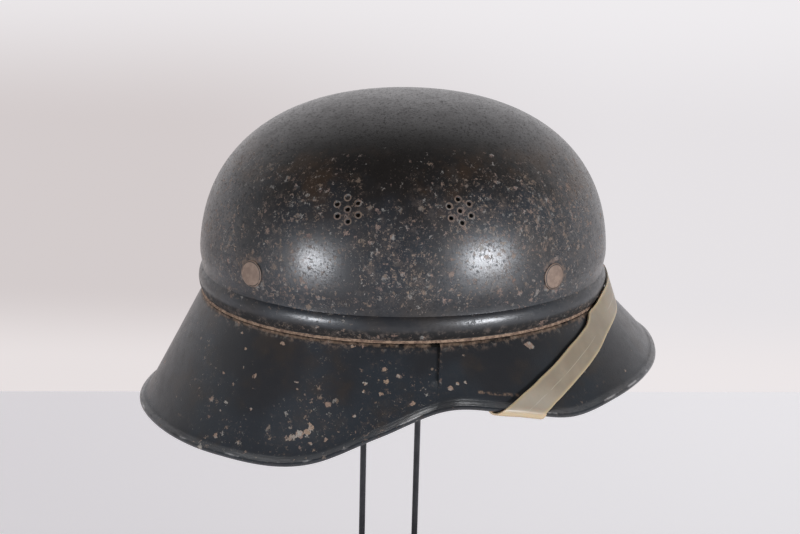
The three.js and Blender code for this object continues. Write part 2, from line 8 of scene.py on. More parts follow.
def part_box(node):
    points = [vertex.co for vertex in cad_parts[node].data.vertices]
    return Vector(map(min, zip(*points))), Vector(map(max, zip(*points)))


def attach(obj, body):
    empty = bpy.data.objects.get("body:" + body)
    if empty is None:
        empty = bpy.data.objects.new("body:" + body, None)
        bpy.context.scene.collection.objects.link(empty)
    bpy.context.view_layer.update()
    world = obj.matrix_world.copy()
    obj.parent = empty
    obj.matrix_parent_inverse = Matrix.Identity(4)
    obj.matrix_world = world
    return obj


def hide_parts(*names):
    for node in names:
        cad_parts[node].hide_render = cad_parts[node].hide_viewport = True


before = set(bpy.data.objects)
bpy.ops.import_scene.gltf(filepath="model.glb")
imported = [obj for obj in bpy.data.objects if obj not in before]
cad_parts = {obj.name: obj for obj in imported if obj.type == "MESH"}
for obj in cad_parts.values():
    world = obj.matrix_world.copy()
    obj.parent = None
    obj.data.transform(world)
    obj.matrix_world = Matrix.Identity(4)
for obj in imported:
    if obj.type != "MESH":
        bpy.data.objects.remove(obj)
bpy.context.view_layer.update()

# Shared sizes of the pressed shell, in metres. Levels are counted from the middle of the crown's bead.
shell = {
    "centre": Vector((0.006, 0, 0.233)),
    "neckLong": 0.127,  # half axes of the neck's ellipse
    "neckWide": 0.108,
    "steel": 0.001,
    "gap": 0.0003,
}


def deselectAll():
    if bpy.context.object and bpy.context.object.mode != "OBJECT":
        bpy.ops.object.mode_set(mode="OBJECT")
    bpy.ops.object.select_all(action="DESELECT")


def only(piece):
    deselectAll()
    piece.select_set(True)
    bpy.context.view_layer.objects.active = piece


def applyAll(piece):
    only(piece)
    for modifier in list(piece.modifiers):
        bpy.ops.object.modifier_apply(modifier=modifier.name)


def mergeAndTurnOut(piece, distance=1e-6):
    only(piece)
    bpy.ops.object.mode_set(mode="EDIT")
    bpy.ops.mesh.select_all(action="SELECT")
    bpy.ops.mesh.remove_doubles(threshold=distance)
    bpy.ops.mesh.normals_make_consistent(inside=False)
    bpy.ops.object.mode_set(mode="OBJECT")


def closeHoles(piece):
    only(piece)
    bpy.ops.object.mode_set(mode="EDIT")
    bpy.ops.mesh.select_all(action="DESELECT")
    bpy.ops.mesh.select_mode(type="EDGE")
    bpy.ops.mesh.select_non_manifold(extend=False)
    bpy.ops.mesh.edge_face_add()
    bpy.ops.mesh.select_mode(type="VERT")
    bpy.ops.object.mode_set(mode="OBJECT")


def smooth(piece, degrees=35):
    only(piece)
    bpy.ops.object.shade_smooth_by_angle(angle=math.radians(degrees))


# A grid of columns by rows, each vertex carried to its place.
# noted(i, j) gives its values for named attributes.
def grownGrid(name, columns, rows, placed, noted=None):
    deselectAll()
    bpy.ops.mesh.primitive_grid_add(x_subdivisions=columns, y_subdivisions=rows, size=1)
    piece = bpy.context.object
    piece.name = piece.data.name = name
    cells = [(round((v.co.x + 0.5) * columns), round((v.co.y + 0.5) * rows)) for v in piece.data.vertices]
    if noted:
        for key in noted(0, 0):
            piece.data.attributes.new(key, "FLOAT", "POINT")
        for index, (i, j) in enumerate(cells):
            for key, value in noted(i, j).items():
                piece.data.attributes[key].data[index].value = value
    for vertex, (i, j) in zip(piece.data.vertices, cells):
        vertex.co = placed(i, j)
    piece.data.update()
    return piece


def modify(piece, kind, **settings):
    modifier = piece.modifiers.new(kind.lower(), kind)
    for key, value in settings.items():
        setattr(modifier, key, value)
    return modifier


def cutWith(piece, cutters):
    deselectAll()
    for cutter in cutters:
        cutter.select_set(True)
    bpy.context.view_layer.objects.active = cutters[0]
    if len(cutters) > 1:
        bpy.ops.object.join()
    cutter = bpy.context.object
    modify(piece, "BOOLEAN", operation="DIFFERENCE", object=cutter, solver="EXACT")
    applyAll(piece)
    bpy.data.objects.remove(cutter)


def besideNeck(turn, share, out, level):
    t = math.radians(turn)
    normal = Vector((math.cos(t) / shell["neckLong"], math.sin(t) / shell["neckWide"])).normalized()
    return shell["centre"] + Vector((
        shell["neckLong"] * share * math.cos(t) + out * normal.x,
        shell["neckWide"] * share * math.sin(t) + out * normal.y,
        level,
    ))


def eased(x, low, high):
    s = min(1, max(0, (x - low) / (high - low)))
    return s * s * (3 - 2 * s)


def alignedTo(normal, at):
    matrix = normal.to_track_quat("Z", "Y").to_matrix().to_4x4()
    matrix.translation = at
    return matrix


# Crown
crown = {
    "top": 0.1142,
    "power": 2.37,  # 2 gives an elliptic dome, more gives fuller shoulders
    "domeFoot": 0.009,
    "neckIn": 0.0015,
    "neckTall": 0.012,
    "beadHalf": 0.007,
    "beadProud": 0.0024,
    "lipTall": 0.0016,
    "lipOut": 0.0009,
    "columns": 200,
    "domeRows": 60,
    "domeFall": 89.2,  # degrees from the top to the dome's last row
    "beadRows": 26,
    "ventRadius": 0.0013,
    "ventRing": 0.0069,
    "ventLevel": 0.066,
    "vents": [(84.2, -3), (116.6, -11)],  # turn and twist of each rosette
    "pinLevel": 0.0226,
    "pinTurns": {"front": 56.3, "rear": 143.8},
    "pinHole": 0.0028,
}


def neckOut(level):
    return crown["neckIn"] * eased(level, crown["beadHalf"], crown["beadHalf"] + crown["neckTall"])


def crownRows():
    rows = []
    tall = crown["top"] - crown["domeFoot"]
    for i in range(crown["domeRows"] + 1):
        fall = math.radians(crown["domeFall"] * i / crown["domeRows"])
        share = math.sin(fall) ** (2 / crown["power"])
        level = crown["domeFoot"] + tall * math.cos(fall) ** (2 / crown["power"])
        rows.append((share, neckOut(level) * share, level, 0))
    for i in range(crown["beadRows"] + 1):
        u = math.cos(math.pi * i / crown["beadRows"])
        rows.append((1, crown["beadProud"] * (1 - u * u) ** 0.75, crown["beadHalf"] * u, 0))
    for s in (0.4, 0.7, 1):
        rows.append((1, crown["lipOut"] * s, -crown["beadHalf"] - crown["lipTall"] * s, s))
    return rows


# Where the dome's outside lies at a turn and level, with its outward normal and the way up along it.
def onCrown(turn, level, side):
    def point(t, z):
        share = min(1, max(0, (z - crown["domeFoot"]) / (crown["top"] - crown["domeFoot"])))
        k = (1 - share ** crown["power"]) ** (1 / crown["power"])
        return besideNeck(t, k, neckOut(z) * k, z)
    at = point(turn * side, level)
    along = point(turn * side + 0.5, level) - point(turn * side - 0.5, level)
    up = point(turn * side, level + 0.0005) - point(turn * side, level - 0.0005)
    normal = along.cross(up).normalized()
    return at, normal, (up - normal * up.dot(normal)).normalized()


def drill(at, normal, radius, sides=24, deep=0.012):
    bpy.ops.mesh.primitive_cylinder_add(vertices=sides, radius=radius, depth=deep)
    piece = bpy.context.object
    piece.matrix_world = alignedTo(normal, at)
    return piece


def makeCrown():
    rows = crownRows()
    turnOf = lambda i: 360 * i / crown["columns"]
    piece = grownGrid(
        "crownShell", crown["columns"], len(rows) - 1,
        lambda i, j: besideNeck(turnOf(i), *rows[j][:3]),
        lambda i, j: {"edge": rows[j][3]},
    )
    mergeAndTurnOut(piece)
    tree = BVHTree.FromObject(piece, bpy.context.evaluated_depsgraph_get())
    modify(piece, "SOLIDIFY", thickness=shell["steel"], offset=-1, use_even_offset=True)
    modify(piece, "BEVEL", width=0.0002, segments=2, limit_method="ANGLE", angle_limit=math.radians(60))
    applyAll(piece)
    within = piece.data.attributes.new("inside", "FLOAT", "POINT")
    for vertex in piece.data.vertices:
        within.data[vertex.index].value = eased(tree.find_nearest(vertex.co)[3], 0.0002, 0.0008)
    holes = []
    deselectAll()
    for side in (1, -1):
        for turn, twist in crown["vents"]:
            at, normal, up = onCrown(turn, crown["ventLevel"], side)
            for k in range(7):
                away = Matrix.Rotation(math.radians(60 * k + twist * side), 3, normal) @ up
                out = 0 if k == 6 else crown["ventRing"]
                holes.append(drill(at + away * out, normal, crown["ventRadius"]))
        for turn in crown["pinTurns"].values():
            at, normal, up = onCrown(turn, crown["pinLevel"], side)
            holes.append(drill(at, normal, crown["pinHole"]))
    cutWith(piece, holes)
    smooth(piece)
    return piece, tree


# Skirt. Turn 0 is the front, 90 the side and 180 the back.
skirt = {
    "reach": 0.04094,
    "drop": 0.079,
    "rim": [  # turn, share of the reach, share of the drop
        (0, 0.94, 0.602), (15, 0.915, 0.621), (30, 0.86, 0.625), (45, 0.783, 0.655), (58, 0.72, 0.684),
        (75, 0.65, 0.56), (90, 0.61, 0.502), (105, 0.64, 0.697), (120, 0.68, 0.935), (145, 0.8, 1.013),
        (165, 0.94, 1.003), (180, 1, 0.997),
    ],
    "flangeTop": 0.004,
    "flangeSeat": -0.00155,
    "bandOut": 0.006,  # the flat band round the rim
    "bandFall": 0.0055,
    "roll": 0.0017,
    "step": 0.9,  # degrees between columns
    "slopeRows": 30,
    "lapTurn": 90,
    "lapStart": 84,
    "neckStart": 90.02,
    "joggle": 4,
    "seamLean": 2.3,  # degrees by which the seam's foot lies behind its top
    "leanSpread": 22,
    "leanSteps": 8,
    "creaseRows": 1.6,  # how far the crease's wear spreads, in rows of the section
    "crestRows": 1.1,
}
skirt["top"] = -crown["beadHalf"] - crown["lipTall"] - shell["steel"] / 2 - shell["gap"]


# A smooth curve through the rows of a table, the same on both sides.
def follow(rows, column, turn):
    a = abs(turn)
    slopes = [0]
    for (t0, *v0), (t1, *v1), (t2, *v2) in zip(rows, rows[1:], rows[2:]):
        d0 = (v1[column] - v0[column]) / (t1 - t0)
        d1 = (v2[column] - v1[column]) / (t2 - t1)
        slopes.append((d0 * (t2 - t1) + d1 * (t1 - t0)) / (t2 - t0))
    slopes.append(0)
    i = max(k for k in range(len(rows) - 1) if rows[k][0] <= a or k == 0)
    h = rows[i + 1][0] - rows[i][0]
    s = (a - rows[i][0]) / h
    low, high = rows[i][1 + column], rows[i + 1][1 + column]
    return ((2 * s**3 - 3 * s**2 + 1) * low + (s**3 - 2 * s**2 + s) * h * slopes[i]
            + (3 * s**2 - 2 * s**3) * high + (s**3 - s**2) * h * slopes[i + 1])


def rimAt(turn):
    return skirt["reach"] * follow(skirt["rim"], 0, turn), skirt["drop"] * follow(skirt["rim"], 1, turn)


# The path with each inner corner replaced by a short curve. Each point carries its corner's cut length.
def rounded(path, steps=5):
    points = [path[0][0]]
    for (a, _), (b, cut), (c, _) in zip(path, path[1:], path[2:]):
        before, after = a - b, c - b
        first = b + before.normalized() * min(cut, before.length * 0.45)
        last = b + after.normalized() * min(cut, after.length * 0.45)
        for k in range(steps + 1):
            s = k / steps
            points.append(first.lerp(b, s).lerp(b.lerp(last, s), s))
    points.append(path[-1][0])
    return points


# The open path moved to its left, mitred at its corners.
def beside(path, distance):
    def side(a, b):
        return Vector((a.y - b.y, b.x - a.x)).normalized()
    moved = []
    last = len(path) - 1
    for i, p in enumerate(path):
        before = side(path[max(0, i - 1)], path[max(1, i)])
        after = side(path[min(last - 1, i)], path[min(last, i + 1)])
        middle = (before + after).normalized()
        moved.append(p + middle * (distance / max(0.6, middle.dot(before))))
    return moved


# The skirt's larger chips, on the wearer's right where the photograph has them.
# Each has its turn, its share of the way down the slope and its radius.
chipped = [
    (127.5, 0.88, 0.0014), (125.8, 0.87, 0.0021), (124, 0.845, 0.0025), (122.3, 0.825, 0.0021),
    (120.8, 0.8, 0.0014), (121.9, 0.765, 0.0012), (122.1, 0.648, 0.001), (139.1, 0.404, 0.0015),
    (138.5, 0.515, 0.001), (149.3, 0.455, 0.001), (143.2, 0.357, 0.001), (140.6, 0.3, 0.0012),
    (138, 0.684, 0.001), (146.2, 0.97, 0.0016), (147, 0.758, 0.0007), (145, 0.515, 0.0009),
    (126.8, 0.391, 0.0012), (126, 0.454, 0.001), (117.8, 0.602, 0.0018), (112.6, 0.035, 0.0012),
    (110.2, 0.04, 0.001), (104.3, 0.329, 0.0012), (103.8, 0.493, 0.0016), (100.7, 0.451, 0.0013),
    (104.8, 0.638, 0.0013), (109.1, 0.554, 0.001), (108.9, 0.466, 0.0012), (97.6, 0.93, 0.0015),
    (111, 0.801, 0.0009), (121.1, 0.941, 0.0012), (117.3, 0.944, 0.0012), (147.2, 0.086, 0.0009),
    (132.7, 0.086, 0.0014), (144.2, 0.202, 0.0009), (65, 0.173, 0.0019), (64.3, 0.2, 0.0012),
    (66, 0.14, 0.0012), (88.8, 0.87, 0.0016), (86.9, 0.795, 0.0012), (84.9, 0.769, 0.001),
    (28.3, 0.814, 0.0011), (75.3, 0.601, 0.0007), (84.5, 0.238, 0.001), (47.9, 0.128, 0.0006),
    (36.2, 0.95, 0.001),
]


def onSlope(turn, share):
    reach, drop = rimAt(turn)
    out = 0.0002 + (reach - skirt["bandOut"] - 0.0002) * share
    return besideNeck(turn, 1, out, skirt["top"] + (-drop + skirt["bandFall"] - skirt["top"]) * share)


# One closed section of the skirt: down its outside, round the rolled edge and up its inside.
# Each point has its place out from the neck and its level, and how much of the roll and crease it is.
def skirtSection(turn, inset=0, short=False):
    reach, drop = rimAt(turn)
    roll, seat, top = skirt["roll"], skirt["flangeSeat"], skirt["top"]
    shoulder = Vector((0.0002, top))
    crease = Vector((reach - skirt["bandOut"], -drop + skirt["bandFall"]))
    slope = lambda s: shoulder.lerp(crease, s)
    path = [
        (Vector((seat, skirt["flangeTop"])), 0),
        (Vector((seat, top)), 0.0006),
        (shoulder, 0.0005),
        (slope(0.93), 0.004),
        (crease + Vector((0.0015, -0.0022)), 0.0022),
        (Vector((reach - roll * 1.35, -drop + roll * 1.45)), 0),
    ]
    outside = rounded(path)
    start = 13  # the first point of the slope
    ends = outside[start - 1], outside[start]
    count = skirt["slopeRows"]
    outside[start:start] = [ends[0].lerp(ends[1], (k + 1) / (count + 1)) for k in range(count)]
    creaseRow = start + count + 3
    moved = beside(outside, -inset)
    for k, (p, q) in enumerate(zip(outside, moved)):
        outside[k] = p.lerp(q, 1 - eased(k, creaseRow - 10, creaseRow - 1))
    inside = beside(outside, -shell["steel"])
    centre = Vector((reach - roll, -drop))
    turnedEdge = []
    for degrees in range(80, -190, -15):
        a = math.radians(degrees)
        turnedEdge.append(centre + Vector((math.cos(a), math.sin(a))) * roll)
    section = []
    for k, p in enumerate(outside):
        edge = eased(k, creaseRow + 8, len(outside) - 1)
        section.append((p, edge, math.exp(-((k - creaseRow) / skirt["creaseRows"]) ** 2), 0, 0))
    for k, p in enumerate(turnedEdge):
        section.append((p, 1, 0, 0, math.exp(-((k - 2) / skirt["crestRows"]) ** 2)))
    section += [(p, 0, 0, 1, 0) for p in reversed(inside)]
    if short:  # cut off above the crease
        low = start + count
        section = section[:low + 1] + section[-low - 1:]
    return section


# The section at a turn, each point moved back by its share of the seam's lean. Each row starts with its turn.
def leaned(turn, sectionAt):
    side = 1 if 0 < turn < 180 else -1
    beyond = abs(min(abs(turn), 360 - abs(turn)) - skirt["lapTurn"])
    pull = side * skirt["seamLean"] * (1 - eased(beyond, 0, skirt["leanSpread"]))
    if abs(pull) < 1e-6:
        return [(turn, *row) for row in sectionAt(turn)]
    steps = skirt["leanSteps"]
    sections = [sectionAt(turn + pull * k / steps) for k in range(steps + 1)]
    foot = -rimAt(skirt["lapTurn"])[1]
    rows = []
    for j, row in enumerate(sections[0]):
        share = min(1, max(0, (row[0].y - skirt["top"]) / (foot - skirt["top"])))
        k = min(steps - 1, int(share * steps))
        point = sections[k][j][0].lerp(sections[k + 1][j][0], share * steps - k)
        rows.append((turn + pull * share, point, *row[1:]))
    return rows


def skirtPiece(name, turns, sectionFor):
    sections = [leaned(turn, sectionFor(turn)) for turn in turns]
    around = len(sections[0])

    def placed(i, j):
        turn, point = sections[i][j % around][:2]
        return besideNeck(turn, 1, point.x, point.y)

    spots = [(onSlope(-turn, share), radius) for turn, share, radius in chipped]

    def noted(i, j):
        _, _, edge, crease, inside, crest = sections[i][j % around]
        at = placed(i, j)
        chip = min((at - spot).length - radius for spot, radius in spots)
        return {"edge": edge, "crease": crease, "inside": inside, "crest": crest, "chip": chip}

    piece = grownGrid(name, len(turns) - 1, around, placed, noted)
    mergeAndTurnOut(piece)
    closeHoles(piece)
    mergeAndTurnOut(piece)
    smooth(piece)
    return piece


def spread(first, last, step):
    count = max(1, round(abs(last - first) / step))
    return [first + (last - first) * k / count for k in range(count + 1)]


def makeVisor():
    turns = spread(-skirt["lapTurn"], skirt["lapTurn"], skirt["step"])
    return skirtPiece("visorShell", turns, lambda middle: skirtSection)


def makeNeckGuard():
    start, joggle = skirt["neckStart"], skirt["joggle"]
    lap = shell["steel"] + 3 * shell["gap"]
    turns = spread(start, start + joggle, 0.5) + spread(start + joggle, 180, skirt["step"])[1:]
    turns += [360 - turn for turn in reversed(turns[:-1])]
    tongue = spread(skirt["lapStart"], start, skirt["step"])

    def sectionFor(middle):
        near = min(middle, 360 - middle)
        inset = lap * (1 - eased(near, start, start + joggle))
        return lambda turn: skirtSection(turn if turn <= 180 else turn - 360, inset)

    def tongueFor(middle):
        return lambda turn: skirtSection(turn if turn <= 180 else turn - 360, lap, True)

    piece = skirtPiece("neckShell", turns, sectionFor)
    across = [360 - turn for turn in tongue]
    tongues = [skirtPiece("tongue", side, tongueFor) for side in (tongue, across)]
    only(piece)
    for extra in tongues:
        extra.select_set(True)
    bpy.ops.object.join()
    return piece


# Liner pins: flat round heads outside, a shank through the sheet and a washer inside.
pin = {
    "head": 0.008,
    "washer": 0.006,
    "sides": 64,
    # outlines of the head and of shank and washer: share of the radius, height in millimetres
    "outline": [
        (0, 0.95), (0.35, 0.95), (0.7, 0.93), (0.86, 0.91), (0.92, 0.86), (0.96, 0.76), (0.99, 0.6),
        (1, 0.45), (1, 0.32), (0.31, 0.3),
    ],
    "tail": [
        (0.4, -1.35), (1, -1.35), (1, -2.6), (0.92, -2.9), (0.6, -3.1), (0.45, -3.6), (0.3, -4.1), (0, -4.3),
    ],
}


def makePin(name, turn, side, tree):
    at, normal, up = onCrown(turn, crown["pinLevel"], side)
    mm = 0.001
    outline = [(r * pin["head"], h * mm) for r, h in pin["outline"]]
    outline += [(r * pin["washer"], h * mm) for r, h in pin["tail"]]
    across = up.cross(normal)

    def placed(i, j):
        t = 2 * math.pi * i / pin["sides"]
        r, h = outline[j]
        away = across * (math.cos(t) * r) + up * (math.sin(t) * r)
        hit = tree.ray_cast(at + away + normal * 0.01, -normal)[0]
        return (hit if hit else at + away) + normal * h

    def noted(i, j):
        return {"round": outline[j][0] if outline[j][1] > 0.0003 else 0}

    piece = grownGrid(name, pin["sides"], len(outline) - 1, placed, noted)
    mergeAndTurnOut(piece)
    smooth(piece, 40)
    return piece


# Chin strap
strap = {
    "thick": 0.0015,
    "off": 0.0007,
    "postLevel": 0.025,
    "postTurn": 102,
    "post": 0.0025,
    "postHead": 0.006,
    "postHeadTall": 0.0015,
    "columns": 4,  # per row of the table
    "across": 12,
    # the strap's edges on one half: turn and way of the rear edge, then of the front edge
    "edges": [
        (0, -1.25, 0, 0.15), (8, -1.22, 7.4, 0.17), (15.5, -1.12, 14, 0.21), (23, -0.99, 20.5, 0.24),
        (28.8, -0.76, 26.5, 0.265), (33.6, -0.22, 31.5, 0.295), (40.1, 0.065, 37, 0.35),
        (47, 0.18, 43.4, 0.455), (53.4, 0.272, 49, 0.545), (59.5, 0.4, 55, 0.648),
        (65.5, 0.553, 59.5, 0.75), (71.5, 0.762, 63.3, 0.86), (77.2, 1, 66.9, 1), (78.7, 1.5, 67.4, 1.5),
        (79.6, 2, 67.9, 2), (80.3, 2.5, 68.5, 2.6), (80.9, 3, 69.6, 3.4), (81.4, 3.4, 71, 4),
        (82.6, 4, 73.2, 4.25), (85.3, 4.24, 77, 4.55), (89.1, 4.66, 81.6, 4.97), (93.2, 5.12, 86, 5.59),
        (97.3, 5.76, 90.2, 6.3), (101.5, 6.52, 94.6, 7.08), (105.4, 7.17, 98.6, 7.56),
        (107.5, 7.42, 101, 7.83),
    ],
    "fold": 10,  # the row from which the strap bends round the rim
    "under": (11.6, 13),  # rows over which its pale underside begins
    "sheen": (11.3, 0.8),  # row and spread of the light on its turn
    "ends": (19, 21),  # rows over which its dark ends begin
    "dip": 0.00025,
}


# The way across the skirt at a turn: -2 is the neck above the bead, -1 the bead, 0 the lip, 1 the rim's
# outside, 3 its inside, 4 inside the crease, 5 and 6 inside the flange, 7 below the post and 8 above it.
def strapWay(turn):
    reach, drop = rimAt(turn)
    steel, gap, dip = shell["steel"], shell["gap"], strap["dip"]
    off = strap["off"] + strap["thick"] / 2
    slant = math.atan2(drop + skirt["top"] - skirt["bandFall"], reach - skirt["bandOut"])
    crease = 2 * steel + 2 * gap + dip + off
    flange = skirt["flangeSeat"] - 3 * steel - 5 * gap - dip - off
    round_ = skirt["roll"] + off

    def roll(angle):
        a = math.radians(angle)
        return Vector((reach - skirt["roll"] + round_ * math.cos(a), -drop + round_ * math.sin(a)))

    def wall(level):
        share = max(0, (level - crown["domeFoot"]) / (crown["top"] - crown["domeFoot"]))
        k = (1 - share ** crown["power"]) ** (1 / crown["power"])
        return Vector(((k - 1) * shell["neckWide"] + neckOut(level) * k - steel - gap - dip - off, level))

    path = [
        Vector((strap["thick"] / 2 + 0.0003, 0.0095)),
        Vector((crown["beadProud"] + strap["thick"] / 2 + 0.0003, 0)),
        Vector((crown["lipOut"] + strap["thick"] / 2 + 0.0003, -crown["beadHalf"] - crown["lipTall"])),
        roll(25),
        roll(-82.5),
        roll(-190),
        Vector((
            reach - skirt["bandOut"] - crease * math.sin(slant),
            -drop + skirt["bandFall"] + 0.001 - crease * math.cos(slant),
        )),
        Vector((flange, skirt["top"] - 2 * steel)),
        Vector((flange, skirt["flangeTop"] + 0.001)),
        wall(strap["postLevel"] - strap["postHead"] * 1.4),
        wall(strap["postLevel"] + strap["postHead"] * 2.2),
    ]
    return path, roll


def onStrapWay(turn, way):
    path, roll = strapWay(turn)
    if 1 < way < 3:
        p = roll(25 - 107.5 * (way - 1))
    else:
        x = min(len(path) - 1, max(0, way + 2))
        i = min(len(path) - 2, int(x))
        p = path[i].lerp(path[i + 1], x - i)
    return besideNeck(turn, 1, p.x, p.y)


def strapPoint(x, q):
    rows = strap["edges"]
    i = min(len(rows) - 2, int(x))
    s = x - i
    a, b, c, d = (rows[min(len(rows) - 1, max(0, k))] for k in (i - 1, i, i + 1, i + 2))
    if i == 0:  # the front's middle, where the two halves meet smoothly
        a = (-c[0], c[1], -c[2], c[3])
    if x > strap["fold"]:
        values = [low + (high - low) * s for low, high in zip(b, c)]
    else:
        values = [
            0.5 * (2 * v1 + (v2 - v0) * s + (2 * v0 - 5 * v1 + 4 * v2 - v3) * s**2
                   + (3 * v1 - v0 - 3 * v2 + v3) * s**3)
            for v0, v1, v2, v3 in zip(a, b, c, d)
        ]
    turnA, wayA, turnB, wayB = values
    flat = onStrapWay(turnA, wayA).lerp(onStrapWay(turnB, wayB), q)
    bent = onStrapWay(turnA + (turnB - turnA) * q, wayA + (wayB - wayA) * q)
    return flat.lerp(bent, min(1, max(0, x - strap["fold"])))


def makeStrap():
    last = len(strap["edges"]) - 1
    half = last * strap["columns"]
    points = []
    for i in range(-half, half + 1):
        row = []
        for j in range(strap["across"] + 1):
            p = strapPoint(abs(i) / strap["columns"], j / strap["across"])
            row.append(p if i >= 0 else Vector((p.x, -p.y, p.z)))
        points.append(row)
    lengths = [0]
    for before, after in zip(points, points[1:]):
        middle = strap["across"] // 2
        lengths.append(lengths[-1] + (after[middle] - before[middle]).length)
    print("strap length", round(lengths[-1] * 1000), "mm")
    sheenRow, sheenSpread = strap["sheen"]

    def noted(i, j):
        row = abs(i - half) / strap["columns"]
        return {
            "along": lengths[i],
            "across": j / strap["across"],
            "under": eased(row, *strap["under"]),
            "sheen": math.exp(-((row - sheenRow) / sheenSpread) ** 2),
            "ends": eased(row, *strap["ends"]),
        }

    piece = grownGrid("chinStrap", 2 * half, strap["across"], lambda i, j: points[i][j], noted)
    modify(piece, "SOLIDIFY", thickness=strap["thick"] * 0.8, offset=0, use_even_offset=True)
    modify(piece, "BEVEL", width=0.0003, segments=2, limit_method="ANGLE", angle_limit=math.radians(50))
    applyAll(piece)
    holes = []
    deselectAll()
    for side in (1, -1):
        at, normal, up = onCrown(strap["postTurn"], strap["postLevel"], side)
        holes.append(drill(at - normal * 0.003, normal, strap["post"] + shell["gap"], 32, 0.01))
    cutWith(piece, holes)
    mergeAndTurnOut(piece, 1e-7)
    smooth(piece, 40)
    return piece


def turnedPiece(name, outline, sides, matrix):
    # outline of radius and height, spun about the local Z
    def placed(i, j):
        t = 2 * math.pi * i / sides
        r, h = outline[j]
        return matrix @ Vector((r * math.cos(t), r * math.sin(t), h))

    piece = grownGrid(name, sides, len(outline) - 1, placed)
    mergeAndTurnOut(piece)
    smooth(piece, 40)
    return piece


def makePost(name, side):
    at, normal, up = onCrown(strap["postTurn"], strap["postLevel"], side)
    foot = shell["steel"] + shell["gap"] + 0.0005
    seat = foot + 2 * strap["off"] + strap["thick"] + 0.0005
    r, head, tall = strap["post"], strap["postHead"], strap["postHeadTall"]
    outline = [
        (0, foot), (r, foot), (r, seat), (head * 0.93, seat), (head, seat + 0.0004),
        (head, seat + tall - 0.0006), (head * 0.94, seat + tall - 0.0002), (head * 0.8, seat + tall),
        (0, seat + tall),
    ]
    return turnedPiece(name, outline, 40, alignedTo(-normal, at))


# Stand
stand = {
    "rod": 0.002,
    "spacing": 0.036,
}


def makeRod(name, x):
    low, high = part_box(f"stand_rod_{name}")
    r = stand["rod"]
    outline = [
        (0, low.z), (r - 0.0003, low.z), (r, low.z + 0.0003), (r, low.z + 0.05), (r, high.z - 0.05),
        (r, high.z - 0.0003), (r - 0.0003, high.z), (0, high.z),
    ]
    return turnedPiece(f"rod{name.capitalize()}", outline, 48, Matrix.Translation((x, 0, 0)))


print("values ready")
crownPiece, crownTree = makeCrown()
print("crown made")
visorPiece = makeVisor()
neckPiece = makeNeckGuard()
print("skirt made")
bothSides = {"left": 1, "right": -1}
pinPieces = {}
for word, side in bothSides.items():
    for key, turn in crown["pinTurns"].items():
        name = f"pin{key.capitalize()}{word.capitalize()}"
        pinPieces[f"liner_pin_{key}_{word}"] = makePin(name, turn, side, crownTree)
postPieces = {}
for word, side in bothSides.items():
    postPieces[f"strap_post_{word}"] = makePost(f"post{word.capitalize()}", side)
print("pins and posts made")
strapPiece = makeStrap()
print("strap made")
rodPieces = {}
for name, way in (("front", 1), ("rear", -1)):
    rodPieces[f"stand_rod_{name}"] = makeRod(name, way * stand["spacing"] / 2)


def carry(piece, node):
    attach(piece, "root")
    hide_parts(node)


carry(crownPiece, "crown")
carry(visorPiece, "visor")
carry(neckPiece, "neck_guard")
carry(strapPiece, "chin_strap")
for node, piece in pinPieces.items():
    carry(piece, node)
for node, piece in postPieces.items():
    carry(piece, node)
for node, piece in rodPieces.items():
    carry(piece, node)


# Shader maths: a Wire is a socket that takes part in Python's expressions.
class Wire:
    def __init__(self, sheet, socket):
        self.sheet, self.socket = sheet, socket

    def __add__(self, other):
        return self.sheet.sum("ADD", self, other)

    def __sub__(self, other):
        return self.sheet.sum("SUBTRACT", self, other)

    def __rsub__(self, other):
        return self.sheet.sum("SUBTRACT", other, self)

    def __mul__(self, other):
        return self.sheet.sum("MULTIPLY", self, other)

    def __rmul__(self, other):
        return self.sheet.sum("MULTIPLY", other, self)

    def __truediv__(self, other):
        return self.sheet.sum("DIVIDE", self, other)

    def __pow__(self, other):
        return self.sheet.sum("POWER", self, other)


